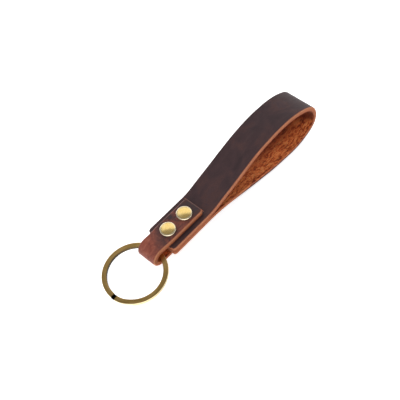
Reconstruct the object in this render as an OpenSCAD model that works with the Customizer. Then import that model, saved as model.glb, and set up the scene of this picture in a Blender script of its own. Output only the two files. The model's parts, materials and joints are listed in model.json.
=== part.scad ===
// Leather wrist keychain, lying on a table.
// A wide strap is bent into a hand loop, a narrower tab is folded round a split ring,
// and two double-cap rivets clamp the tab over both ends of the strap.
// X runs from the split ring to the hand loop, Z is up, and the table is Z = 0.

/* [Strap] */
// Width of the strap
strap_w = 17.5; // [15:0.5:19]
// Thickness of the strap leather
strap_t = 2.5; // [2.3:0.1:2.7]
// Distance from the middle of the two rivets to the strap's cut ends
strap_end = 11.2; // [11:0.1:12]
// Distance from the middle of the two rivets to the middle of the leather at the loop's tip
loop_reach = 95.2; // [94.5:0.1:97]
// Corner radius of the strap's cut ends
strap_corner = 1.5; // [1:0.5:3]

/* [Tab] */
// Width of the tab over the strap
tab_w = 11.8; // [11.2:0.1:12.2]
// Width of the tab where it is folded round the ring
fold_w = 11.2; // [10:0.1:11.2]
// Thickness of the tab leather
tab_t = 2.4; // [2.2:0.1:2.5]
// Distance from the middle of the two rivets to the tab's cut ends
tab_end = 12.8; // [12.2:0.1:12.8]
// Distance from the middle of the two rivets to the centre of the fold
fold_x = 16.65; // [16.4:0.05:17]
// Inner radius of the fold, where the ring passes
fold_r = 2.85; // [2.8:0.05:3]
// Corner radius of the tab's cut ends
tab_corner = 1.5; // [0.5:0.5:2]

/* [Rivets] */
// Distance between the two rivets
rivet_pitch = 11.4; // [11:0.1:12]
// Diameter of the rivet caps
cap_d = 8; // [7:0.5:8.5]
// Height of the domed caps
cap_h = 1.3; // [1.1:0.1:1.5]
// Wall of the pressed sheet parts
sheet_t = 0.35; // [0.3:0.05:0.4]
// Diameter of the holes punched in the leather
punch_d = 3.2; // [3.1:0.1:3.4]

/* [Split ring] */
// Outer diameter of the ring
ring_d = 32; // [31:0.5:32]
// Width of the flat wire, across the ring
wire_w = 2.5; // [2.3:0.1:2.6]
// Thickness of the flat wire
wire_t = 0.86; // [0.7:0.02:0.88]
// How far the wire lies from the middle of the two rivets
ring_x = 16; // [15.8:0.1:16.1]
// How far the ring is turned sideways in its eye
ring_yaw = 4.7; // [0:0.1:5]

/* [Hidden] */
$fn = 96;

// The loop's two sides, each as flare radius, slope, crest radius, slope past the crest,
// shoulder radius and slope at the shoulder's end. A straight and a tip arc close each side.
loop_above = [22, 16.5, 75, 4, 39, 30];
loop_below = [69, 13.5, 87, 1, 30, 28];
// How far the tip lies below the joint between the strap's two layers
tip_drop = 1.3;
// Half the hairline between the strap's two layers where they lie on each other
layer_gap = 0.02;
side_above = loop_side(loop_above, -tip_drop);
side_below = loop_side(loop_below, tip_drop);

// Rivets: slip is the gap round parts that slide together, rim_r rounds the cap's rolled
// rim, crown_t closes the tube's top, stem_gap is free above and below the tube and stem
slip = 0.05;
seat_z = strap_t + tab_t;
rivet_x = rivet_pitch / 2;
rim_r = 0.5;
rim_x = cap_d / 2 - rim_r;
flange_r = rim_x - rim_r - 2 * slip;
tube_r = punch_d / 2 - slip;
stem_r = tube_r - sheet_t - slip;
crown_t = 0.1;
stem_gap = 1;
dome_r = (pow(rim_x, 2) + pow(cap_h - rim_r, 2) - pow(rim_r, 2)) / (2 * (cap_h - 2 * rim_r));

// The tab narrows between these two distances from the middle of the two rivets
waist_from = 9;
waist_to = 13;

// Split ring: two turns of wire with a hairline between them and bevelled edges. The wire
// steps from the lower turn to the upper one over ramp_span, which ends at the cut end.
wire_gap = 0.04;
wire_bevel = 0.22;
ring_mid_r = ring_d / 2 - wire_w / 2;
ring_half_h = wire_t + wire_gap / 2;
ramp_span = 35;
ramp_start = 180;
end_gap = 5;

// Angle steps that the turns of wire and the bends of leather are drawn in
coil_step = 5;
bend_step = 3;

// The strap lies on its loop and on the back cap nearest the ring, so the riveted stack
// slopes up towards the loop, and the ring's far edge rests on the table.
crest_centre = side_below[3];
crest_r = loop_below[2] + strap_t / 2;
cap_centre_z = dome_r - seat_z - cap_h;
lie_angle = tilt_for(crest_centre.x + rivet_x, -crest_centre.y - cap_centre_z, crest_r - dome_r);
table_z = sin(lie_angle) * -rivet_x + cos(lie_angle) * cap_centre_z - dome_r;
pivot_h = sin(lie_angle) * -ring_x - table_z;
ring_tilt = tilt_for(ring_mid_r + ring_d / 2 - wire_bevel, ring_half_h, pivot_h);

// Ends of the bounding box along X, which is centred on the origin
pivot_x = cos(lie_angle) * -ring_x;
ring_min_x = pivot_x - ring_mid_r * cos(ring_tilt) * cos(ring_yaw)
    - ring_d / 2 * norm([cos(ring_tilt) * cos(ring_yaw), sin(ring_yaw)]);
tip_centre = side_below[5];
tip_max_x = cos(lie_angle) * tip_centre.x + sin(lie_angle) * tip_centre.y
    + side_below[1] + strap_t / 2;
mid_x = (ring_min_x + tip_max_x) / 2;
side_y = ring_mid_r * cos(ring_tilt) * sin(ring_yaw);

// Smaller angle a at which p sin(a) + q cos(a) = c
function tilt_for(p, q, c) = atan2(p, q) - acos(c / norm([p, q]));

// One side of the loop, measured up from the joint between the layers. The result is
// [straight length, tip radius, flare centre, crest centre, shoulder centre, tip centre].
function loop_side(s, tip_y) =
    let(
        mid = strap_t / 2,
        arcs_x = tab_end + s[0] * sin(s[1]) + s[2] * (sin(s[1]) + sin(s[3]))
            + s[4] * (sin(s[5]) - sin(s[3])),
        arcs_y = mid + (s[0] + s[2]) * (1 - cos(s[1])) - s[2] * (1 - cos(s[3]))
            - s[4] * (cos(s[3]) - cos(s[5])),
        gap = [loop_reach - arcs_x, tip_y - arcs_y],
        det = -cos(s[1]) * cos(s[5]) - sin(s[1]) * (1 - sin(s[5])),
        run = (-gap.x * cos(s[5]) - gap.y * (1 - sin(s[5]))) / det,
        tip_r = (cos(s[1]) * gap.y - sin(s[1]) * gap.x) / det,
        flare = [tab_end, mid + s[0]],
        rise = [flare.x + s[0] * sin(s[1]), flare.y - s[0] * cos(s[1])],
        crest_from = rise + run * [cos(s[1]), sin(s[1])],
        crest = crest_from + s[2] * [sin(s[1]), -cos(s[1])],
        shoulder = crest + (s[2] - s[4]) * [sin(s[3]), cos(s[3])],
        tip = shoulder + (s[4] - tip_r) * [sin(s[5]), cos(s[5])]
    )
    [run, tip_r, flare, crest, shoulder, tip];

// Points along a bend of radius r, between two directions given as angles about its centre
function bend(centre, r, from, to) =
    let(steps = ceil(abs(to - from) / bend_step))
    [
        for (i = [0:steps])
            let(a = from + (to - from) * i / steps)
            centre + r * [cos(a), sin(a)]
    ];

// One face of the strap on one side of the loop, out is its distance from the strap's middle
function side_face(s, side, out) = concat(
    [[-strap_end, strap_t / 2 + out]],
    bend(side[2], s[0] - out, 270, 270 + s[1]),
    bend(side[3], s[2] + out, 90 + s[1], 90 - s[3]),
    bend(side[4], s[4] + out, 90 - s[3], 90 - s[5]),
    bend(side[5], side[1] + out, 90 - s[5], 0)
);

function reversed(list) = [for (i = [len(list) - 1:-1:0]) list[i]];

// One face of the whole strap, from the upper end round the loop to the lower end
function strap_face(out) = concat(
    side_face(loop_above, side_above, out),
    reversed([
        for (p = side_face(loop_below, side_below, out))
            if (p.x < loop_reach + out - 0.001) [p.x, -p.y]
    ])
);

// A long plan outline with its corners rounded at the low X end only
module rounded_end(x_from, length, w, r) {
    translate([x_from + r, -w / 2]) square([length - r, w]);
    translate([x_from, r - w / 2]) square([2 * r, w - 2 * r]);
    for (side = [-1, 1])
        translate([x_from + r, side * (w / 2 - r)]) circle(r = r);
}

// Extrudes a side view, drawn in X and Z, to a width centred on Y = 0
module across(w) {
    rotate([90, 0, 0]) linear_extrude(w, center = true) children();
}

// Lays the assembly, drawn along its riveted stack, on the table
module lie_down() {
    translate([-mid_x, side_y, -table_z]) rotate([0, -lie_angle, 0]) children();
}

module punch_holes() {
    for (x = [-rivet_x, rivet_x])
        translate([x, 0, 0]) cylinder(d = punch_d, h = 4 * seat_z, center = true);
}

module hand_loop() {
    outer = strap_face(strap_t / 2);
    inner = strap_face(layer_gap - strap_t / 2);
    color("#4a3838") lie_down() difference() {
        intersection() {
            across(strap_w)
                polygon(concat(outer, reversed(inner)));
            linear_extrude(4 * loop_reach, center = true)
                rounded_end(-strap_end, 2 * loop_reach, strap_w, strap_corner);
        }
        punch_holes();
    }
}

// One face of the folded tab, from its upper end round the fold to its lower end
function tab_face(out) =
    let(
        r = fold_r + out,
        lean = asin((fold_r - strap_t) / (fold_x - strap_end))
    )
    concat(
        [[tab_end, strap_t + out], [-strap_end, strap_t + out]],
        bend([-fold_x, 0], r, 90 + lean, 270 - lean),
        [[-strap_end, -strap_t - out], [tab_end, -strap_t - out]]
    );

// Plan outline of the folded tab: wide over the strap, narrower at the fold
module tab_plan() {
    fold_end = fold_x + fold_r + 2 * tab_t;
    half = [tab_w / 2, fold_w / 2];
    mirror([1, 0]) rounded_end(-tab_end, tab_end + waist_from, tab_w, tab_corner);
    polygon([
        [tab_corner - waist_from, half[0]], [-waist_from, half[0]], [-waist_to, half[1]],
        [-fold_end, half[1]], [-fold_end, -half[1]],
        [-waist_to, -half[1]], [-waist_from, -half[0]], [tab_corner - waist_from, -half[0]]
    ]);
}

module ring_tab() {
    outer = tab_face(tab_t);
    inner = tab_face(0);
    color("#6b4340") lie_down() difference() {
        intersection() {
            across(tab_w)
                polygon(concat(outer, reversed(inner)));
            linear_extrude(4 * seat_z, center = true) tab_plan();
        }
        punch_holes();
    }
}

// Height of the wire's middle at an angle along its two turns
function coil_z(a) =
    let(
        part = (a - ramp_start - 360) / ramp_span,
        k = min(1, max(0, part))
    )
    (wire_t + wire_gap) * (k * k * (3 - 2 * k) - 0.5);

module split_ring() {
    w = wire_w / 2;
    h = wire_t / 2;
    b = wire_bevel;
    section = [
        [-w, b - h], [b - w, -h], [w - b, -h], [w, b - h],
        [w, h - b], [w - b, h], [b - w, h], [-w, h - b]
    ];
    first = ramp_start + ramp_span;
    last = ramp_start + 720 - end_gap;
    steps = (last - first) / coil_step;
    n = len(section);
    points = [
        for (i = [0:steps], p = section)
            let(a = first + i * coil_step)
            [(ring_mid_r + p.x) * cos(a), (ring_mid_r + p.x) * sin(a), coil_z(a) + p.y]
    ];
    walls = [
        for (i = [0:steps - 1], j = [0:n - 1])
            [i * n + j, i * n + (j + 1) % n, (i + 1) * n + (j + 1) % n, (i + 1) * n + j]
    ];
    ends = [[for (j = [n - 1:-1:0]) j], [for (j = [0:n - 1]) steps * n + j]];
    color("#9a8254")
        translate([pivot_x - mid_x, side_y, pivot_h])
        rotate([0, -ring_tilt, ring_yaw])
        translate([-ring_mid_r, 0, 0])
        polyhedron(points, concat(walls, ends), convexity = 8);
}

// Side view of a domed cap with a rolled rim, from its axis, shrunk by t
module cap_solid(t) {
    from_x = rim_x * dome_r / (dome_r - rim_r);
    translate([rim_x, rim_r]) circle(r = rim_r - t);
    translate([0, t]) square([rim_x, rim_r]);
    intersection() {
        translate([0, cap_h - dome_r]) circle(r = dome_r - t);
        translate([0, rim_r]) square([from_x, cap_h]);
    }
}

// Side view of the sheet cap, whose edge is turned under the flange
module cap_outline() {
    difference() {
        cap_solid(0);
        cap_solid(sheet_t);
        translate([0, -cap_h]) square([flange_r + slip, cap_h + 2 * sheet_t]);
    }
}

module rivet_cap() {
    translate([0, 0, seat_z]) rotate_extrude() cap_outline();
}

// Flanged tube that goes through the leather from the front
module rivet_socket() {
    tube_h = 2 * seat_z - stem_gap;
    translate([0, 0, seat_z]) difference() {
        union() {
            cylinder(r = flange_r, h = sheet_t);
            translate([0, 0, -tube_h]) cylinder(r = tube_r, h = tube_h + sheet_t / 2);
        }
        translate([0, 0, -2 * tube_h]) cylinder(r = tube_r - sheet_t, h = 2 * tube_h - crown_t);
    }
}

// Flanged stem that is hammered into the tube from the back
module rivet_stud() {
    stem_h = 2 * seat_z - stem_gap;
    translate([0, 0, -seat_z]) {
        translate([0, 0, -sheet_t]) cylinder(r = flange_r, h = sheet_t);
        translate([0, 0, -sheet_t / 2]) cylinder(r = stem_r, h = stem_h);
    }
}

module at_rivet(x) {
    color("#c9b272") lie_down() translate([x, 0, 0]) children();
}

hand_loop();
ring_tab();
split_ring();
at_rivet(-rivet_x) rivet_cap();  // ring_rivet_cap
at_rivet(-rivet_x) rivet_socket();  // ring_rivet_socket
at_rivet(-rivet_x) rivet_stud();  // ring_rivet_stud
at_rivet(-rivet_x) mirror([0, 0, 1]) rivet_cap();  // ring_rivet_back_cap
at_rivet(rivet_x) rivet_cap();  // loop_rivet_cap
at_rivet(rivet_x) rivet_socket();  // loop_rivet_socket
at_rivet(rivet_x) rivet_stud();  // loop_rivet_stud
at_rivet(rivet_x) mirror([0, 0, 1]) rivet_cap();  // loop_rivet_back_cap
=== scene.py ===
import json
import math

import bpy
import numpy as np
from mathutils import Matrix, Vector, kdtree


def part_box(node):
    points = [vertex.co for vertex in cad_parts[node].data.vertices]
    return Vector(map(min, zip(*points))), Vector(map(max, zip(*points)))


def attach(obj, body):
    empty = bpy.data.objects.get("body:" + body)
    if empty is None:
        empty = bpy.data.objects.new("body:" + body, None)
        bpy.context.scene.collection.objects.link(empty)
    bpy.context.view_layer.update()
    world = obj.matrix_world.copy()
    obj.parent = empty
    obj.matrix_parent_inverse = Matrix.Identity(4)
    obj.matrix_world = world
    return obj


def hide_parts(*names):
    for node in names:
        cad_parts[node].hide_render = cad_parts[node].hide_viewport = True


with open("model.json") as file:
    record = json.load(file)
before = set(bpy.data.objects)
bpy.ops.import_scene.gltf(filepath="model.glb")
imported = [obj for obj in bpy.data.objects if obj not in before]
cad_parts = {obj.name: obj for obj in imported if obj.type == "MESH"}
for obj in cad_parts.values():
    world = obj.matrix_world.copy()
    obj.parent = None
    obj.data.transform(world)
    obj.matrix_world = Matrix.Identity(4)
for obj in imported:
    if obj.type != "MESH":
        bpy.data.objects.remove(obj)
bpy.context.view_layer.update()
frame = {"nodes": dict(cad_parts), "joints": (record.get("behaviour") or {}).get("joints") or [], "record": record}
print("frame loaded")

mm = 0.001


# The riveted stack has its own frame: its origin is midway between the rivets, at the
# joint between the strap's layers, and X runs along the strap towards the loop.
def rivetCentre(end):
    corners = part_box(f"{end}_rivet_cap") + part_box(f"{end}_rivet_back_cap")
    return sum(corners, Vector()) / 4


ringRivet, loopRivet = rivetCentre("ring"), rivetCentre("loop")
stackCentre = (ringRivet + loopRivet) / 2
lieAngle = math.atan2(loopRivet.z - ringRivet.z, loopRivet.x - ringRivet.x)
stackFrame = Matrix.Translation(stackCentre) @ Matrix.Rotation(-lieAngle, 4, "Y")
rivetX = (loopRivet - ringRivet).length / 2

keyRing = next(m for m in frame["record"]["mounts"] if m["name"] == "key_ring")
ringCentre, ringNormal = Vector(keyRing["pos_m"]), Vector(keyRing["axis"])
ringHinge = Vector(frame["joints"][0]["pos_m"])


# Small helpers shared by the pieces
def editMode(kind="VERT"):
    bpy.ops.object.mode_set(mode="EDIT")
    bpy.ops.mesh.select_mode(type=kind)


def objectMode():
    bpy.ops.object.mode_set(mode="OBJECT")
    return bpy.context.object


def takeOnly(piece):
    bpy.ops.object.select_all(action="DESELECT")
    bpy.context.view_layer.objects.active = piece
    piece.select_set(True)


def finishModifier(piece, kind, **settings):
    takeOnly(piece)
    modifier = piece.modifiers.new(kind.lower(), kind)
    for key, value in settings.items():
        setattr(modifier, key, value)
    bpy.ops.object.modifier_apply(modifier=modifier.name)


def putInPlace(piece, place):
    takeOnly(piece)
    piece.matrix_world = place
    bpy.ops.object.transform_apply(location=True, rotation=True, scale=True)


def points(piece):
    co = np.zeros(len(piece.data.vertices) * 3, np.float32)
    piece.data.vertices.foreach_get("co", co)
    return co.reshape(-1, 3).astype(float)


def storeVectors(piece, name, vectors):
    layer = piece.data.attributes.new(name, "FLOAT_VECTOR", "POINT")
    layer.data.foreach_set("vector", vectors.astype(np.float32).ravel())


# Shades a piece smooth except at creases and puts it where it belongs
def settle(piece, place, crease=40):
    takeOnly(piece)
    bpy.ops.object.shade_smooth_by_angle(angle=math.radians(crease))
    putInPlace(piece, place)


# Starts a strip or a wire as a grid the size of its section, stood up about one axis
def startSection(name, cells, size, axis, spot):
    bpy.ops.object.select_all(action="DESELECT")
    bpy.ops.mesh.primitive_grid_add(x_subdivisions=cells[0], y_subdivisions=cells[1], size=1)
    piece = bpy.context.object
    piece.name = piece.data.name = name
    editMode("FACE")
    bpy.ops.mesh.select_all(action="SELECT")
    bpy.ops.transform.resize(value=(*size, 1), center_override=(0, 0, 0))
    bpy.ops.transform.rotate(value=math.radians(90), orient_axis=axis, center_override=(0, 0, 0))
    bpy.ops.transform.translate(value=spot)
    return piece


def turnAbout(x, z, cx, cz, angle):
    c, s = math.cos(angle), math.sin(angle)
    return cx + (x - cx) * c - (z - cz) * s, cz + (x - cx) * s + (z - cz) * c


# Carries the selected end face along a route in the X-Z plane. A move is a length ahead, or
# a radius and degrees, positive to the left. A list of lengths with a list of growths also
# widens the face after each length. The line that comes back holds X, Z, heading, length
# walked and width at points along the route.
def carryAlong(start, width, heading, route, step):
    x, z = start
    walked, line = 0.0, []
    for move in route:
        ahead = (math.cos(heading), math.sin(heading))
        if isinstance(move, tuple):
            radius, turn = move[0] * mm, math.radians(move[1])
            side = math.copysign(radius, turn)
            cx, cz = x - ahead[1] * side, z + ahead[0] * side
            count = max(2, round(radius * abs(turn) / step))
            bpy.ops.mesh.spin(steps=count, angle=turn, center=(cx, 0, cz), axis=(0, 1, 0))
            fine = max(count * 3, 6)
            for i in range(fine):
                part = turn * i / fine
                line.append((*turnAbout(x, z, cx, cz, part), heading + part,
                             walked + radius * abs(turn) * i / fine, width))
            x, z = turnAbout(x, z, cx, cz, turn)
            heading += turn
            walked += radius * abs(turn)
        else:
            lengths, widths = move if isinstance(move, list) else ([move], [1])
            for length, grow in zip(lengths, widths):
                length *= mm
                count = max(1, round(length / step))
                for i in range(count):
                    line.append((x, z, heading, walked, width))
                    hop = length / count
                    bpy.ops.mesh.extrude_region_move(
                        TRANSFORM_OT_translate={"value": (ahead[0] * hop, 0, ahead[1] * hop)})
                    x, z, walked = x + ahead[0] * hop, z + ahead[1] * hop, walked + hop
                if grow != 1:
                    bpy.ops.transform.resize(value=(1, grow, 1), center_override=(0, 0, 0))
                    width *= grow
    line.append((x, z, heading, walked, width))
    return line


# Steps and growths that round the two corners of a cut end of a strip
def roundedEnd(width, radius, steps=6):
    turns = [math.pi / 2 * i / steps for i in range(steps + 1)]
    lengths = [radius * (math.cos(a) - math.cos(b)) for a, b in zip(turns, turns[1:])]
    halves = [width / 2 - radius + radius * math.sin(a) for a in turns]
    return lengths, [b / a for a, b in zip(halves, halves[1:])]


# Bevels the sharp edges, or only those between points that keep picks
def softenEdges(offset, keep=None, segments=3, sharpness=50):
    bpy.ops.mesh.select_mode(type="EDGE")
    bpy.ops.mesh.select_all(action="SELECT")
    bpy.ops.mesh.normals_make_consistent(inside=False)
    bpy.ops.mesh.select_all(action="DESELECT")
    bpy.ops.mesh.edges_select_sharp(sharpness=math.radians(sharpness))
    if keep:
        piece = objectMode()
        wanted = keep(points(piece))
        for edge in piece.data.edges:
            edge.select = edge.select and all(wanted[v] for v in edge.vertices)
        bpy.ops.object.mode_set(mode="EDIT")
    bpy.ops.mesh.bevel(offset=offset, segments=segments, profile=0.5, affect="EDGES")


# Rounds the grain side of a strip's outline widely and its flesh side narrowly
def softenStrip(line, grainSide, grainRound, fleshRound):
    softenEdges(grainRound, lambda co: flatten(co, line, grainSide)[:, 2] > 0, 3)
    softenEdges(fleshRound, lambda co: flatten(co, line, grainSide)[:, 2] < -fleshRound, 2)


def punchHoles(piece, diameter):
    bpy.ops.object.select_all(action="DESELECT")
    for x in (-rivetX, rivetX):
        bpy.ops.mesh.primitive_cylinder_add(vertices=40, radius=diameter / 2, depth=20 * mm,
                                            location=(x, 0, 0))
        punch = bpy.context.object
        finishModifier(piece, "BOOLEAN", operation="DIFFERENCE", object=punch)
        bpy.data.objects.remove(punch)


# Where points lie in the flat hide: along the strip, across it, and out from the middle
# of its thickness towards the grain
def flatten(co, line, grainSide):
    tree = kdtree.KDTree(len(line))
    for i, at in enumerate(line):
        tree.insert((at[0], 0, at[1]), i)
    tree.balance()
    hide = np.zeros((len(co), 3))
    for i, (x, y, z) in enumerate(co):
        at = line[tree.find((x, 0, z))[1]]
        dx, dz = x - at[0], z - at[1]
        c, s = math.cos(at[2]), math.sin(at[2])
        hide[i] = (at[3] + dx * c + dz * s, y, (dz * c - dx * s) * grainSide)
    return hide


# Stores those places in millimetres, and how far each lies inside the strip's outline
def rememberHide(piece, line, grainSide):
    hide = flatten(points(piece), line, grainSide) / mm
    walked, widths = np.array([(at[3], at[4]) for at in line]).T / mm
    side = np.interp(hide[:, 0], walked, widths) / 2 - np.abs(hide[:, 1])
    rim = np.minimum(side, np.minimum(hide[:, 0], walked[-1] - hide[:, 0]))
    storeVectors(piece, "hide", hide)
    layer = piece.data.attributes.new("rim", "FLOAT", "POINT")
    layer.data.foreach_set("value", rim.astype(np.float32))
    return hide


def readHide(piece):
    hide = np.zeros(len(piece.data.vertices) * 3, np.float32)
    piece.data.attributes["hide"].data.foreach_get("vector", hide)
    return hide.reshape(-1, 3)


# Rounds, smooths and punches a carried strip. Returns how far each point lies along it, and
# how far out of its thickness, from -1 on the flesh side to 1 on the grain side.
def finishStrip(piece, line, grainSide, sizes):
    softenStrip(line, grainSide, sizes["grainRound"] * mm, sizes["fleshRound"] * mm)
    objectMode()
    finishModifier(piece, "SUBSURF", levels=1, render_levels=1)
    punchHoles(piece, sizes["punch"] * mm)
    hide = rememberHide(piece, line, grainSide)
    return hide[:, 0], hide[:, 2] / (sizes["thickness"] / 2)


def weigh(piece, name, weights):
    group = piece.vertex_groups.new(name=name)
    for i, w in enumerate(weights):
        if w > 0.01:
            group.add([i], float(w), "REPLACE")
    return name


# Waves the surface in and out by a height, in clouds of a size, where the group has weight
def ruffle(piece, name, group, wave, direction="NORMAL", depth=2):
    height, size = wave
    pattern = bpy.data.textures.new(name, "CLOUDS")
    pattern.noise_scale, pattern.noise_depth = size * mm, depth
    finishModifier(piece, "DISPLACE", texture=pattern, texture_coords="LOCAL", direction=direction,
                   strength=height * mm, mid_level=0.5, vertex_group=group)


def smoothStep(x, low, high):
    t = np.clip((x - low) / (high - low), 0, 1)
    return t * t * (3 - 2 * t)


# Node helpers
def colour(code):
    parts = [int(code[i:i + 2], 16) / 255 for i in (0, 2, 4)]
    return tuple(c / 12.92 if c < 0.04045 else ((c + 0.055) / 1.055) ** 2.4 for c in parts) + (1,)


class Finish:
    # A procedural material and short ways to add its nodes
    def __init__(self, name, **constants):
        self.material = bpy.data.materials.new(name)
        self.material.use_nodes = True
        self.nodes, self.links = self.material.node_tree.nodes, self.material.node_tree.links
        self.shader = self.nodes["Principled BSDF"]
        for key, value in constants.items():
            self.shader.inputs[key.replace("_", " ")].default_value = value

    def add(self, kind, ins=None, **settings):
        node = self.nodes.new(kind)
        for key, value in settings.items():
            setattr(node, key, value)
        for key, value in (ins or {}).items():
            if isinstance(value, bpy.types.NodeSocket):
                self.links.new(value, node.inputs[key])
            else:
                node.inputs[key].default_value = value
        return node

    def attribute(self, name):
        return self.add("ShaderNodeAttribute", attribute_name=name).outputs["Vector"]

    def place(self, vector, scale, slant=0.0):
        return self.add("ShaderNodeMapping", {"Vector": vector, "Scale": scale,
                        "Rotation": (0, 0, slant)}).outputs[0]

    def noise(self, vector, scale, detail=3.0, rough=0.5, distortion=0.0):
        return self.add("ShaderNodeTexNoise", {"Vector": vector, "Scale": scale, "Detail": detail,
                        "Roughness": rough, "Distortion": distortion}).outputs["Fac"]

    def cells(self, vector, scale):
        node = self.add("ShaderNodeTexVoronoi", {"Vector": vector, "Scale": scale})
        return node.outputs["Distance"]

    def split(self, vector):
        return self.add("ShaderNodeSeparateXYZ", {0: vector}).outputs

    def sum(self, kind, a, b=0.0, c=0.0):
        return self.add("ShaderNodeMath", {0: a, 1: b, 2: c}, operation=kind).outputs[0]

    def between(self, value, low, high, start=0.0, end=1.0):
        return self.add("ShaderNodeMapRange", {"Value": value, "From Min": low, "From Max": high,
                        "To Min": start, "To Max": end}, interpolation_type="SMOOTHSTEP").outputs[0]

    def ramp(self, value, stops):
        node = self.add("ShaderNodeValToRGB", {0: value})
        band = node.color_ramp.elements
        while len(band) < len(stops):
            band.new(0.5)
        for element, (at, code) in zip(band, stops):
            element.position = at
            element.color = colour(code)
        return node.outputs[0]

    def mix(self, share, a, b, blend="MIX"):
        node = self.add("ShaderNodeMix", data_type="RGBA", blend_type=blend)
        for key, value in ((0, share), (6, a), (7, b)):
            if isinstance(value, str):
                value = colour(value)
            if isinstance(value, bpy.types.NodeSocket):
                self.links.new(value, node.inputs[key])
            else:
                node.inputs[key].default_value = value
        return node.outputs[2]

    def bump(self, height, depth, strength):
        return self.add("ShaderNodeBump", {"Height": height, "Distance": depth * mm,
                        "Strength": strength}).outputs[0]

    def wear(self, **inputs):
        for key, socket in inputs.items():
            self.links.new(socket, self.shader.inputs[key.replace("_", " ")])


# What both pieces of leather have in common
hidePatterns = {
    # how often it repeats per mm along, across and through the hide, its slant in radians,
    # then the noise's detail, roughness and distortion
    "ragged": ((1.3, 1.3, 1.3), 0.0, 4, 0.65, 0.0),
    "patches": ((0.09, 0.13, 0.13), 0.0, 4, 0.55, 0.6),
    "streaks": ((0.05, 0.8, 0.8), 0.0, 4, 0.6, 0.3),
    "speckle": ((1.6, 1.6, 1.6), 0.0, 5, 0.7, 0.0),
    "cloud": ((0.22, 0.3, 0.3), 0.0, 4, 0.6, 0.4),
    "creases": ((0.14, 1.5, 1.0), 0.0, 4, 0.6, 0.2),
    "mottle": ((0.35, 0.42, 0.4), 0.0, 5, 0.62, 0.8),
    "fibres": ((0.25, 1.2, 4.5), 0.0, 5, 0.65, 0.2),
    "tufts": ((0.2, 0.5, 0.5), 0.35, 4, 0.62, 1.0),
    "hairs": ((0.4, 1.7, 1.7), 0.2, 5, 0.72, 0.7),
    "pores": ((5.5, 5.5, 5.5), 0.0, 3, 0.6, 0.0),
}
hideBlends = {
    # where a tone starts and where it has taken over, then how much of it shows
    "streaks": (0.52, 0.78), "speckle": (0.4, 0.75, 0, 0.35), "faint": (0.42, 0.62),
    "rubbedRim": (1.1, -0.1), "rubbedSpots": (0.42, 0.62), "rimLine": (0.6, 0.2),
    "darkFibres": (0.38, 0.66, 0, 0.55), "paleFibres": (0.5, 0.8, 0, 0.5),
    "paleHairs": (0.5, 0.62, 0, 0.7), "darkHairs": (0.5, 0.36, 0, 0.6),
    "edgeShadeLayer": (-0.7, 0.4), "grainRim": (-0.3, -0.1), "grainLayer": (0.45, 0.7),
    "fleshLayer": (-0.88, -0.99), "faintFade": 8, "creaseShare": 0.12, "shadeWander": 8.0,
    # places past the loop's tip, in mm: painted shade under it, then where the painted shade on the cut edge
    # starts and ends
    "tipReach": 12, "tipShade": 11, "edgeShadeStart": (4, 18), "edgeShadeEnd": (75, 60),
    # shares of the width where the bare edge starts and is full
    "bareSide": (-0.32, -0.44),
    # how far out a face's middle lies for it to be grain, or flesh
    "grainFace": 0.8, "fleshFace": -0.86,
}
hideRelief = {
    # each face's relief: its depth in mm, its strength and the shares that make it up, then
    # its roughness
    "grain": {"depth": 0.06, "strength": 0.8, "pebbles": 0.5, "streaks": 0.8,
              "pebbleStretch": (1, 1.15, 1), "pebbleScale": 2.3,
              "patchRough": 0.25, "speckleRough": 0.15},
    "flesh": {"depth": 0.22, "strength": 1.0, "tufts": 1.4, "hairRough": 0.1, "rough": 0.88},
    "edge": {"depth": 0.1, "strength": 0.9, "fibres": 1.2, "fibreRough": 0.2, "rough": 0.7},
}


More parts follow.
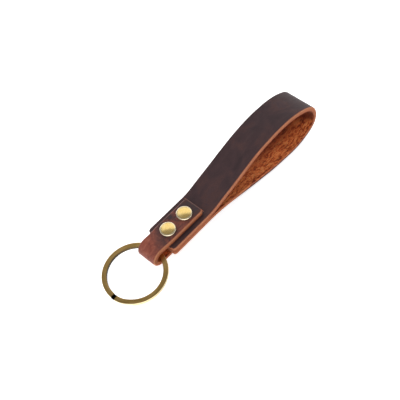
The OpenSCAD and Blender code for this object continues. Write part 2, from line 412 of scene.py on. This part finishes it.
# One hide has three faces that meet softly: waxed grain, napped flesh and the cut edge.
# Each face is its own material, and all three share these colours, so nothing breaks
# where they meet. Positions come from the piece's own hide coordinates.
def leatherFace(name, look, face, **constants):
    m = Finish(name, **constants)
    hide = m.attribute("hide")
    along, across, out = m.split(hide)
    layer = m.sum("DIVIDE", out, look["thickness"] / 2)
    rim = m.add("ShaderNodeAttribute", attribute_name="rim").outputs["Fac"]
    blend, tipAt = hideBlends, look["tipAt"]

    def pattern(kind):
        stretch, slant, *settings = hidePatterns[kind]
        return m.noise(m.place(hide, stretch, slant), 1.0, *settings)

    def centred(value):
        return m.sum("SUBTRACT", value, 0.5)

    # grain: cloudy wax patches, long pulled streaks and a fine speckle
    patches, streaks, speckle = pattern("patches"), pattern("streaks"), pattern("speckle")
    grain = m.ramp(patches, look["grain"])
    streaked = m.between(streaks, *blend["streaks"], 0, look["streaks"])
    grain = m.mix(streaked, grain, look["streakTint"])
    grain = m.mix(m.between(speckle, *blend["speckle"]), grain, look["speckleTint"])

    # wear: rubbed to the hide's own red-brown about one place along the strip; on the strap this is a lighter
    # patch at the far bend, stretched leather that is partly a painted sheen
    apart = m.sum("ABSOLUTE", m.sum("SUBTRACT", along, look["wornAt"]))
    slant = m.sum("MULTIPLY_ADD", across, look["wornSlant"], apart)
    cloud = pattern("cloud")
    worn = m.sum("MULTIPLY_ADD", centred(cloud), look["wornSpread"], slant)
    worn = m.between(worn, look["wornFrom"], look["wornTo"], look["worn"], 0)
    faint = m.between(cloud, *blend["faint"], 0, look["faint"])
    near = m.between(apart, look["faintTo"], look["faintTo"] - blend["faintFade"])
    worn = m.sum("MAXIMUM", worn, m.sum("MULTIPLY", faint, near))
    creases = pattern("creases")
    mottle = m.sum("MULTIPLY_ADD", centred(creases), blend["creaseShare"], pattern("mottle"))
    grain = m.mix(worn, grain, m.ramp(mottle, look["wornTones"]))

    # rim: rubbed in spots, with a thin painted highlight where the grain meets the cut edge
    ragged = pattern("ragged")
    spots = m.between(ragged, *blend["rubbedSpots"], 0, look["rubbed"])
    rubbed = m.sum("MULTIPLY", m.between(rim, *blend["rubbedRim"]), spots)
    grain = m.mix(rubbed, grain, look["wornTones"][1][1])
    grain = m.mix(m.between(rim, *blend["rimLine"], 0, look["rimHighlight"]), grain, look["rimHighlightTone"])

    # cut edge: pale packed fibres in thin layers, darker where the dye soaked in
    fibres = pattern("fibres")
    edge = m.ramp(m.sum("MULTIPLY_ADD", layer, 0.5, 0.5), look["edge"])
    edge = m.mix(m.between(fibres, *blend["darkFibres"]), edge, look["edgeDark"])
    edge = m.mix(m.between(speckle, *blend["paleFibres"]), edge, look["edgePale"])

    # flesh: brushed nap in short tufts that lie along the strip
    tufts, hairs = pattern("tufts"), pattern("hairs")
    flesh = m.ramp(tufts, look["flesh"])
    flesh = m.mix(m.between(hairs, *blend["paleHairs"]), flesh, look["fleshPale"])
    flesh = m.mix(m.between(hairs, *blend["darkHairs"]), flesh, look["fleshDark"])

    # painted shade: the nap is darkened towards the far side and under the loop's tip, where the loop shades it
    under = m.between(along, tipAt + blend["tipReach"], tipAt, 0, blend["tipShade"])
    dim = m.sum("MULTIPLY_ADD", centred(tufts), blend["shadeWander"], across)
    shaded = m.between(m.sum("ADD", dim, under), look["shadeFrom"], look["shadeTo"])
    flesh = m.mix(shaded, flesh, m.mix(1.0, flesh, look["shade"], "MULTIPLY"))

    # beyond the tip the cut edge is painted in the nap's colours and darkens towards its grain side: painted shade
    # on the lower leg's edge
    edgeShadeStart = [tipAt + reach for reach in blend["edgeShadeStart"]]
    edgeShadeEnd = [tipAt + reach for reach in blend["edgeShadeEnd"]]
    edgeShade = m.sum("MULTIPLY", m.between(along, *edgeShadeStart, 0, look["edgeShading"]),
                 m.between(along, *edgeShadeEnd))
    edgeShadeTone = m.mix(m.between(layer, *blend["edgeShadeLayer"]), flesh, look["fleshDark"])
    edge = m.mix(edgeShade, edge, edgeShadeTone)

    # the grain is rubbed off along one long side only and wraps over the others
    bareSide = [share * look["width"] for share in blend["bareSide"]]
    bare = m.between(across, *bareSide, 0, look["bareWidth"])
    fringe = m.sum("MULTIPLY_ADD", centred(ragged), look["ragged"], rim)
    onGrain = m.sum("MULTIPLY", m.between(m.sum("SUBTRACT", fringe, bare), *blend["grainRim"]),
                    m.between(layer, *blend["grainLayer"]))
    skin = m.mix(onGrain, edge, grain)
    skin = m.mix(m.between(layer, *blend["fleshLayer"]), skin, flesh)

    relief = hideRelief[face]
    if face == "grain":
        pebbles = m.cells(m.place(hide, relief["pebbleStretch"]), relief["pebbleScale"])
        height = m.sum("MULTIPLY_ADD", pebbles, relief["pebbles"], pattern("pores"))
        height = m.sum("MULTIPLY_ADD", streaks, relief["streaks"], height)
        creased = m.sum("MULTIPLY", m.sum("MULTIPLY", creases, worn), look["creaseDepth"])
        height = m.sum("ADD", height, creased)
        dull = m.sum("MULTIPLY_ADD", patches, relief["patchRough"], look["roughness"])
        rough = m.sum("MULTIPLY_ADD", speckle, relief["speckleRough"], dull)
    elif face == "flesh":
        height = m.sum("MULTIPLY_ADD", tufts, relief["tufts"], hairs)
        rough = m.sum("MULTIPLY_ADD", hairs, relief["hairRough"], relief["rough"])
    else:
        height = m.sum("MULTIPLY_ADD", fibres, relief["fibres"], speckle)
        rough = m.sum("MULTIPLY_ADD", fibres, relief["fibreRough"], relief["rough"])
    normal = m.bump(height, relief["depth"], relief["strength"])
    m.wear(Base_Color=skin, Roughness=rough, Normal=normal)
    return m.material


def dressLeather(piece, name, look):
    piece.data.materials.append(leatherFace(f"{name}Grain", look, "grain", **look["wax"]))
    piece.data.materials.append(leatherFace(f"{name}Flesh", look, "flesh", **look["nap"]))
    piece.data.materials.append(leatherFace(f"{name}CutEdge", look, "edge", **look["cut"]))
    out = readHide(piece)[:, 2] / (look["thickness"] / 2)
    for face in piece.data.polygons:
        middle = float(np.mean(out[list(face.vertices)]))
        isGrain, isFlesh = middle > hideBlends["grainFace"], middle < hideBlends["fleshFace"]
        face.material_index = 0 if isGrain else 1 if isFlesh else 2


# Lengths are in mm, and so are the heights and sizes of the waves
strap = {
    "width": 17.5, "thickness": 2.48, "end": 11.2, "corner": 1.5, "middle": 1.25, "offset": 0.01,
    # once round the hand loop, between the two straights that are clamped
    "route": [(22, 16.5), 28.6144, (75, -20.5), (39, -26), (10.8065, -60), (8.07602, -62),
              (30, -27), (87, -14.5), 27.3754, (69, 13.5)],
    "straight": 24.0, "step": 0.95, "cells": (4, 20),
    "grainRound": 0.3, "fleshRound": 0.1, "punch": 3.2,
    "stillTo": 26, "looseFrom": 44, "grainSide": (0.5, 0.9), "fleshSide": (0.4, 0.95),
    "sag": (0.45, 24), "wander": (0.22, 16), "grainWave": (0.1, 6), "nap": (0.16, 1.1),
}
strapLook = {
    "thickness": 2.48, "width": 17.5, "ragged": 0.3, "bareWidth": 0.56,
    "grain": [(0.3, "311e21"), (0.5, "3f292b"), (0.62, "4a2f2d"), (0.75, "3b2d36")],
    "streaks": 0.35, "streakTint": "4c3736", "speckleTint": "271a1d",
    # the worn patch sits at the far bend: stretched, lighter leather and partly a painted sheen
    "wornAt": 118.0, "wornSlant": 0.0, "wornSpread": 22.0, "wornFrom": 4.0, "wornTo": 24.0,
    "worn": 0.4, "faint": 0.0, "faintTo": 8.0, "wornTones": [(0.3, "4a3533"), (0.7, "665049")],
    # a painted highlight along the grain's rim
    "creaseDepth": 0.4, "rubbed": 0.5, "rimHighlight": 0.15, "rimHighlightTone": "8a6c60",
    "edge": [(0.0, "8c4221"), (0.25, "ad5c30"), (0.5, "b96636"), (0.78, "c4764a"),
             (0.92, "d8966f"), (1.0, "b0623f")],
    "edgeDark": "8f4824", "edgePale": "d7976c",
    "flesh": [(0.36, "6e2409"), (0.45, "b54d20"), (0.53, "e2743a"), (0.63, "f89a58")],
    "fleshPale": "f29658", "fleshDark": "4a190a",
    # painted shade on the nap towards the far side and under the tip, and on the cut edge past the tip
    "shade": "6f4c3c", "shadeFrom": -6.0, "shadeTo": 4.0, "tipAt": 113.0, "edgeShading": 0.9,
    "roughness": 0.46,
    "wax": {"Specular_IOR_Level": 0.32, "Sheen_Weight": 0.08, "Sheen_Roughness": 0.5},
    "nap": {"Specular_IOR_Level": 0.15, "Sheen_Weight": 0.35, "Sheen_Roughness": 0.45,
            "Sheen_Tint": (0.75, 0.36, 0.2, 1)},
    "cut": {"Specular_IOR_Level": 0.2, "Sheen_Weight": 0.12},
}


def makeHandLoop():
    lengths, grow = roundedEnd(strap["width"], strap["corner"])
    narrow = (strap["width"] - 2 * strap["corner"]) * mm
    start = (-strap["end"] * mm, strap["middle"] * mm)
    piece = startSection("handLoopStrap", strap["cells"], (strap["thickness"] * mm, narrow), "Y",
                         (start[0], 0, start[1] + strap["offset"] * mm))
    plain = strap["straight"] - strap["corner"]
    route = [[lengths, grow], plain, *strap["route"], plain,
             [lengths[::-1], [1 / g for g in grow[::-1]]]]
    line = carryAlong(start, narrow, 0.0, route, strap["step"] * mm)
    along, out = finishStrip(piece, line, 1, strap)
    length = along.max()
    free = smoothStep(np.minimum(along, length - along), strap["stillTo"], strap["looseFrom"])
    grain = free * smoothStep(out, *strap["grainSide"])
    flesh = free * smoothStep(-out, *strap["fleshSide"])
    ruffle(piece, "sag", weigh(piece, "free", free), strap["sag"], "Z", 0)
    ruffle(piece, "wander", "free", strap["wander"], "Y", 0)
    ruffle(piece, "grainWave", weigh(piece, "grain", grain), strap["grainWave"])
    ruffle(piece, "nap", weigh(piece, "nap", flesh), strap["nap"], depth=3)
    piece.vertex_groups.clear()
    dressLeather(piece, "strap", strapLook)
    settle(piece, stackFrame)
    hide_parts("hand_loop")
    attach(piece, "strap")
    print("hand loop", len(piece.data.vertices), "points,", round(length, 1), "mm of strap")


makeHandLoop()

tab = {
    "width": 11.8, "foldWidth": 11.2, "waist": (9.0, 13.0), "waistHops": 3, "thickness": 2.4,
    "end": 12.8, "corner": 1.5, "middle": 3.7,
    "foldX": -16.65, "foldRadius": 4.05, "lean": 3.68, "ease": 20.0, "kinkX": -11.078,
    "step": 0.7, "cells": (4, 14), "grainRound": 0.62, "fleshRound": 0.1, "punch": 3.2,
    "grainSide": (0.5, 0.9), "foldReach": (8, 14), "flatWave": 0.25, "grainWave": (0.12, 3),
}
tabLook = dict(
    strapLook, thickness=2.4, width=11.8, ragged=0.4, bareWidth=0.92,
    grain=[(0.3, "2c1e23"), (0.48, "3d2b2c"), (0.6, "4d2d29"), (0.75, "383036")],
    streaks=0.4, streakTint="5d352e", speckleTint="261a1e",
    wornAt=35.5, wornSlant=-0.55, wornSpread=10.0, wornFrom=4.5, wornTo=13.5,
    worn=0.88, faint=0.6, faintTo=32.0,
    wornTones=[(0.3, "6e2f20"), (0.46, "8a4432"), (0.6, "9c513c"), (0.78, "b5715a")],
    # a strong painted highlight along the rim, and painted shade on the nap
    creaseDepth=0.3, rubbed=0.6, rimHighlight=0.6, shade="8a6a5a", tipAt=-100.0, edgeShading=0.0,
    roughness=0.42,
)


def makeRingTab():
    lean = math.radians(tab["lean"])
    easing = tab["ease"] * math.tan(lean / 2)
    kink = Vector((tab["kinkX"], tab["middle"]))
    tangent = Vector((tab["foldX"] + tab["foldRadius"] * math.sin(lean),
                      tab["foldRadius"] * math.cos(lean)))
    leg = (kink - tangent).length - easing
    waistFrom, waistTo = tab["waist"]
    flat = tab["end"] + waistFrom - tab["corner"]
    before = -tab["kinkX"] - easing - waistFrom
    after = waistTo + tab["kinkX"] - easing
    lengths, grow = roundedEnd(tab["width"], tab["corner"])
    narrow = (tab["width"] - 2 * tab["corner"]) * mm
    start = (tab["end"] * mm, tab["middle"] * mm)
    piece = startSection("ringTabLeather", tab["cells"], (tab["thickness"] * mm, narrow), "Y",
                         (start[0], 0, start[1]))
    hops = tab["waistHops"]
    shrink = (tab["foldWidth"] / tab["width"]) ** (0.5 / hops)
    bend = (tab["ease"], -tab["lean"])

    def waist(length, growth):
        return [[length / hops] * hops, [growth] * hops]

    route = [[lengths, grow], flat, waist(before, shrink), bend, waist(after, shrink), leg - after,
             (tab["foldRadius"], 180 + 2 * tab["lean"]),
             leg - after, waist(after, 1 / shrink), bend, waist(before, 1 / shrink), flat,
             [lengths[::-1], [1 / g for g in grow[::-1]]]]
    line = carryAlong(start, narrow, math.pi, route, tab["step"] * mm)
    along, out = finishStrip(piece, line, -1, tab)
    fold = 1 - smoothStep(np.abs(along - along.max() / 2), *tab["foldReach"])
    waved = tab["flatWave"] + (1 - tab["flatWave"]) * fold
    grain = weigh(piece, "grain", smoothStep(out, *tab["grainSide"]) * waved)
    ruffle(piece, "tabWave", grain, tab["grainWave"])
    piece.vertex_groups.clear()
    dressLeather(piece, "tab", tabLook)
    settle(piece, stackFrame)
    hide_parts("ring_tab")
    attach(piece, "strap")
    print("ring tab", len(piece.data.vertices), "points,", round(along.max(), 1), "mm of leather")


makeRingTab()

brassPattern = {
    # the noises' detail, roughness and distortion, then where each starts and is full
    "tarnish": (4, 0.6, 0.5), "brushed": (4, 0.65), "brushes": (0.4, 0.7),
    "pits": (0.16, 0.05, 0, 0.4), "tarnishRough": 0.1, "pitRelief": 0.15, "relief": 0.6,
}


# Satin brass with brushing along one direction of the piece's own coordinates and darker
# tarnish in patches. The ring's coordinates run round it, out from its centre and up, so its
# inside and underside get painted shade, its gap a painted shadow and its outer wall a pale painted reflection. A
# cap's rim gets a pale painted highlight by its reach.
def brassFinish(name, look, coordinates):
    m = Finish(name, Metallic=1.0)
    if coordinates == "Object":
        place = m.add("ShaderNodeTexCoord").outputs["Object"]
        place = m.place(place, (1 / mm, 1 / mm, 1 / mm))
    else:
        place = m.attribute(coordinates)
    tarnish = m.noise(m.place(place, look["patch"]), 1.0, *brassPattern["tarnish"])
    tone = m.ramp(tarnish, look["tones"])
    brushed = m.noise(m.place(place, look["brush"]), 1.0, *brassPattern["brushed"])
    brushes = m.between(brushed, *brassPattern["brushes"], 0, look["brushShare"])
    tone = m.mix(brushes, tone, look["brushTint"])
    pits = m.cells(place, look["pitScale"])
    tone = m.mix(m.between(pits, *brassPattern["pits"]), tone, look["pitTint"])
    if "gapShadow" in look:
        around, reach, up = m.split(place)
        middle, near, far = look["gapAt"]
        apart = m.sum("ABSOLUTE", m.sum("SUBTRACT", around, middle))
        # painted reflection: the outer wall is painted pale
        tone = m.mix(m.between(reach, *look["outerWall"]), tone, look["outerReflection"])
        # painted shade: the inner wall is painted dark
        tone = m.mix(m.between(reach, *look["inside"], 1, 0), tone, look["insideShade"])
        # painted shade: the lower chamfer is painted grey
        tone = m.mix(m.between(up, *look["under"], 1, 0), tone, look["underShade"])
        # painted shadow in the gap
        tone = m.mix(m.between(apart, near, far, 1, 0), tone, look["gapShadow"])
    if "rimGlint" in look:
        x, y, _ = m.split(place)
        reach = m.sum("SQRT", m.sum("MULTIPLY_ADD", x, x, m.sum("MULTIPLY", y, y)))
        # painted highlight: the cap's rim is painted pale
        tone = m.mix(m.between(reach, *look["rimPale"]), tone, look["rimGlint"])
    rough = m.sum("MULTIPLY_ADD", brushed, look["roughSpread"], look["rough"])
    rough = m.sum("MULTIPLY_ADD", tarnish, brassPattern["tarnishRough"], rough)
    height = m.sum("MULTIPLY_ADD", pits, brassPattern["pitRelief"], brushed)
    normal = m.bump(height, look["depth"], brassPattern["relief"])
    m.wear(Base_Color=tone, Roughness=rough, Normal=normal)
    return m.material


splitRing = {
    "middle": 14.75, "wire": 2.5, "thick": 0.86, "turnGap": 0.04, "edgeRound": 0.24,
    # degrees: where the wire starts, its lower coil, the step up, its upper coil, one hop
    "startAt": 215, "lowTurn": 325, "step": 35, "highTurn": 320, "each": 5,
    "cells": (4, 2),
}
antiqueBrass = {
    "patch": (0.09, 0.5, 0.5), "tones": [(0.3, "967843"), (0.5, "ab8a50"), (0.7, "bb9a62")],
    "brush": (0.15, 7.0, 7.0), "brushShare": 0.3, "brushTint": "c9a869",
    "pitScale": 1.7, "pitTint": "4c3d20", "rough": 0.2, "roughSpread": 0.14, "depth": 0.01,
    # painted shadow in the gap, painted shade inside and underneath, painted reflection on the outer wall
    "gapAt": (-9.6, 0.6, 1.0), "gapShadow": "0d0a06", "outerWall": (15.75, 15.95),
    "outerReflection": "f0dfb4", "inside": (13.52, 13.6), "insideShade": "2c2823",
    "under": (-0.82, -0.74), "underShade": "575048",
}


def makeSplitRing():
    r, thick = splitRing["middle"] * mm, splitRing["thick"] * mm
    rise = thick + splitRing["turnGap"] * mm
    piece = startSection("splitRingWire", splitRing["cells"], (splitRing["wire"] * mm, thick), "X",
                         (r, 0, -rise / 2))

    def turn(degrees, steps=1):
        bpy.ops.mesh.spin(steps=steps, angle=-math.radians(degrees), center=(0, 0, 0),
                          axis=(0, 0, 1))

    each = splitRing["each"]
    turn(splitRing["lowTurn"], splitRing["lowTurn"] // each)
    hops = splitRing["step"] // each
    ease = [k * k * (3 - 2 * k) for k in (i / hops for i in range(hops + 1))]
    for low, high in zip(ease, ease[1:]):
        turn(each)
        bpy.ops.transform.translate(value=(0, 0, rise * (high - low)))
    turn(splitRing["highTurn"], splitRing["highTurn"] // each)
    softenEdges(splitRing["edgeRound"] * mm)
    objectMode()
    finishModifier(piece, "SUBSURF", levels=1, render_levels=1)
    co = points(piece) / mm
    angle = np.arctan2(co[:, 1], co[:, 0])
    wire = np.stack([angle * splitRing["middle"], np.hypot(co[:, 0], co[:, 1]), co[:, 2]], 1)
    storeVectors(piece, "wire", wire)
    piece.data.materials.append(brassFinish("antiqueBrass", antiqueBrass, "wire"))
    xAxis = (ringHinge - ringCentre).normalized()
    yAxis = ringNormal.cross(xAxis)
    place = Matrix((xAxis, yAxis, ringNormal)).transposed().to_4x4()
    place.translation = ringCentre
    settle(piece, place @ Matrix.Rotation(math.radians(splitRing["startAt"]), 4, "Z"))
    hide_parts("split_ring")
    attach(piece, "ring")
    print("split ring", len(piece.data.vertices), "points")


makeSplitRing()

rivetCap = {
    "diameter": 8.0, "height": 1.3, "rim": 0.5, "base": 3.1, "seat": 4.9,
    "around": 72, "rimSteps": 10, "domeRings": 8, "crease": 60,
    "turned": {"ring": 25, "loop": 70},  # degrees the brushing is turned
}
capBrass = {
    "patch": (0.4, 0.4, 0.4), "tones": [(0.3, "e0bd70"), (0.5, "e5c67e"), (0.7, "ead091")],
    "brush": (0.35, 5.0, 1.0), "brushShare": 0.15, "brushTint": "d3ae5c",
    "pitScale": 2.2, "pitTint": "cdaa62", "rough": 0.13, "roughSpread": 0.04, "depth": 0.001,
    # a pale painted highlight on the rim
    "rimPale": (3.0, 3.8), "rimGlint": "f6e6c4",
}


def makeRivetCaps():
    rim, height = rivetCap["rim"], rivetCap["height"]
    rimX = rivetCap["diameter"] / 2 - rim
    domeR = (rimX ** 2 + (height - rim) ** 2 - rim ** 2) / (2 * (height - 2 * rim))
    meet = math.asin(rimX / (domeR - rim))
    profile = [(rimX, 0.0)]
    turns = rivetCap["rimSteps"]
    for i in range(1, turns + 1):
        a = -math.pi / 2 + (math.pi - meet) * i / turns
        profile.append((rimX + rim * math.cos(a), rim + rim * math.sin(a)))
    rings = rivetCap["domeRings"]
    for i in range(1, rings):
        x = domeR * math.sin(meet) * (1 - i / rings)
        profile.append((x, height - domeR + math.sqrt(domeR ** 2 - x ** 2)))
    bpy.ops.object.select_all(action="DESELECT")
    bpy.ops.mesh.primitive_circle_add(vertices=rivetCap["around"], radius=rivetCap["base"] * mm,
                                      fill_type="NGON")
    cap = bpy.context.object
    cap.name = cap.data.name = "ringRivetFrontCap"
    editMode("FACE")
    bpy.ops.mesh.select_all(action="SELECT")
    x, z = rivetCap["base"], 0.0
    for nextX, nextZ in profile:
        bpy.ops.mesh.extrude_region_move(TRANSFORM_OT_translate={"value": (0, 0, (nextZ - z) * mm)})
        bpy.ops.transform.resize(value=(nextX / x, nextX / x, 1), center_override=(0, 0, 0))
        x, z = nextX, nextZ
    bpy.ops.mesh.poke()
    bpy.ops.mesh.select_all(action="SELECT")
    bpy.ops.mesh.normals_make_consistent(inside=False)
    objectMode()
    takeOnly(cap)
    bpy.ops.object.shade_smooth_by_angle(angle=math.radians(rivetCap["crease"]))
    storeVectors(cap, "capFace", points(cap) / mm)
    cap.data.materials.append(brassFinish("capBrass", capBrass, "capFace"))
    caps = {("ring", 1): cap}
    for key in (("ring", -1), ("loop", 1), ("loop", -1)):
        other = cap.copy()
        other.data = cap.data.copy()
        bpy.context.scene.collection.objects.link(other)
        other.name = other.data.name = f"{key[0]}Rivet{'Front' if key[1] > 0 else 'Back'}Cap"
        caps[key] = other
    for (end, side), piece in caps.items():
        x = -rivetX if end == "ring" else rivetX
        spin = Matrix.Rotation(math.radians(rivetCap["turned"][end]), 4, "Z")
        flip = Matrix.Rotation(math.pi if side < 0 else 0, 4, "X")
        seat = Matrix.Translation((x, 0, side * rivetCap["seat"] * mm))
        putInPlace(piece, stackFrame @ seat @ flip @ spin)
        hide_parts(f"{end}_rivet_cap" if side > 0 else f"{end}_rivet_back_cap")
        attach(piece, "strap")
    print("rivet caps", len(caps))


makeRivetCaps()

# The rivets' posts are carried over from the frame
plainBrass = {
    "patch": (0.5, 0.5, 0.5), "tones": [(0.3, "9c7d3e"), (0.5, "b39250"), (0.7, "c6a867")],
    "brush": (6.0, 6.0, 0.8), "brushShare": 0.4, "brushTint": "8a6c34",
    "pitScale": 2.5, "pitTint": "6f5527", "rough": 0.34, "roughSpread": 0.15, "depth": 0.01,
}
postFinish = brassFinish("plainBrass", plainBrass, "Object")
for end in ("ring", "loop"):
    for post in ("socket", "stud"):
        node = frame["nodes"][f"{end}_rivet_{post}"]
        node.data.materials.clear()
        node.data.materials.append(postFinish)
print("rivet posts finished")

studio = {
    "floor": 24.0, "floorTone": "f4f4f4", "floorTint": "f0f0ef", "floorGlow": 0.8,
    "floorCloud": (30, 3), "floorBlend": (0.3, 0.7, 0, 0.3),
    "world": (0.96, 0.97, 1.0, 1), "worldStrength": 0.36,
    "lights": [
        # name, where it hangs, width, height, watts, whether it lights matt and shiny parts
        ("overhead", (-0.2, 0.6, 0.8), 0.7, 0.7, 4.6, True, False),
        ("backWall", (0.45, 0.95, 0.3), 1.6, 0.6, 4.5, True, True),
        ("backHigh", (0.42, 0.46, 0.82), 0.9, 0.42, 1.2, True, True),
        ("leftFill", (-0.9, 0.1, 0.5), 0.6, 0.6, 1.2, True, True),
        ("frontPanel", (-0.62, -0.64, 0.42), 1.2, 1.0, 6.2, False, True),
    ],
    "camera": (-171.959, -174.63, 315.451), "aim": (38.214, 3.42, -47.213),  # mm, degrees
    "lens": 72, "sensor": 36, "clip": (0.01, 20),
}


def makeStudio():
    bpy.ops.object.select_all(action="DESELECT")
    bpy.ops.mesh.primitive_plane_add(size=studio["floor"], location=(0, 0, 0))
    floor = bpy.context.object
    floor.name = "table"
    m = Finish("paleTable", Roughness=0.6, Specular_IOR_Level=0.2,
               Emission_Strength=studio["floorGlow"], Emission_Color=(1, 1, 1, 1))
    place = m.add("ShaderNodeTexCoord").outputs["Object"]
    cloudy = m.between(m.noise(place, *studio["floorCloud"]), *studio["floorBlend"])
    tone = m.mix(cloudy, studio["floorTone"], studio["floorTint"])
    m.wear(Base_Color=tone)
    floor.data.materials.append(m.material)
    for name, spot, width, height, watts, onMatt, onShiny in studio["lights"]:
        bpy.ops.object.light_add(type="AREA", location=spot)
        lamp = bpy.context.object
        lamp.name = name
        lamp.data.shape = "RECTANGLE"
        lamp.data.size, lamp.data.size_y, lamp.data.energy = width, height, watts
        lamp.visible_diffuse, lamp.visible_glossy = onMatt, onShiny
        lamp.rotation_euler = Vector(spot).to_track_quat("Z", "Y").to_euler()
    world = bpy.data.worlds.new("studio")
    bpy.context.scene.world = world
    world.use_nodes = True
    sky = world.node_tree.nodes["Background"]
    sky.inputs["Color"].default_value = studio["world"]
    sky.inputs["Strength"].default_value = studio["worldStrength"]
    bpy.ops.object.camera_add(location=[v * mm for v in studio["camera"]],
                              rotation=[math.radians(v) for v in studio["aim"]])
    camera = bpy.context.object
    camera.data.lens, camera.data.sensor_width = studio["lens"], studio["sensor"]
    camera.data.clip_start, camera.data.clip_end = studio["clip"]
    bpy.context.scene.camera = camera
    bpy.context.scene.view_settings.view_transform = "Standard"
    print("studio set")


makeStudio()
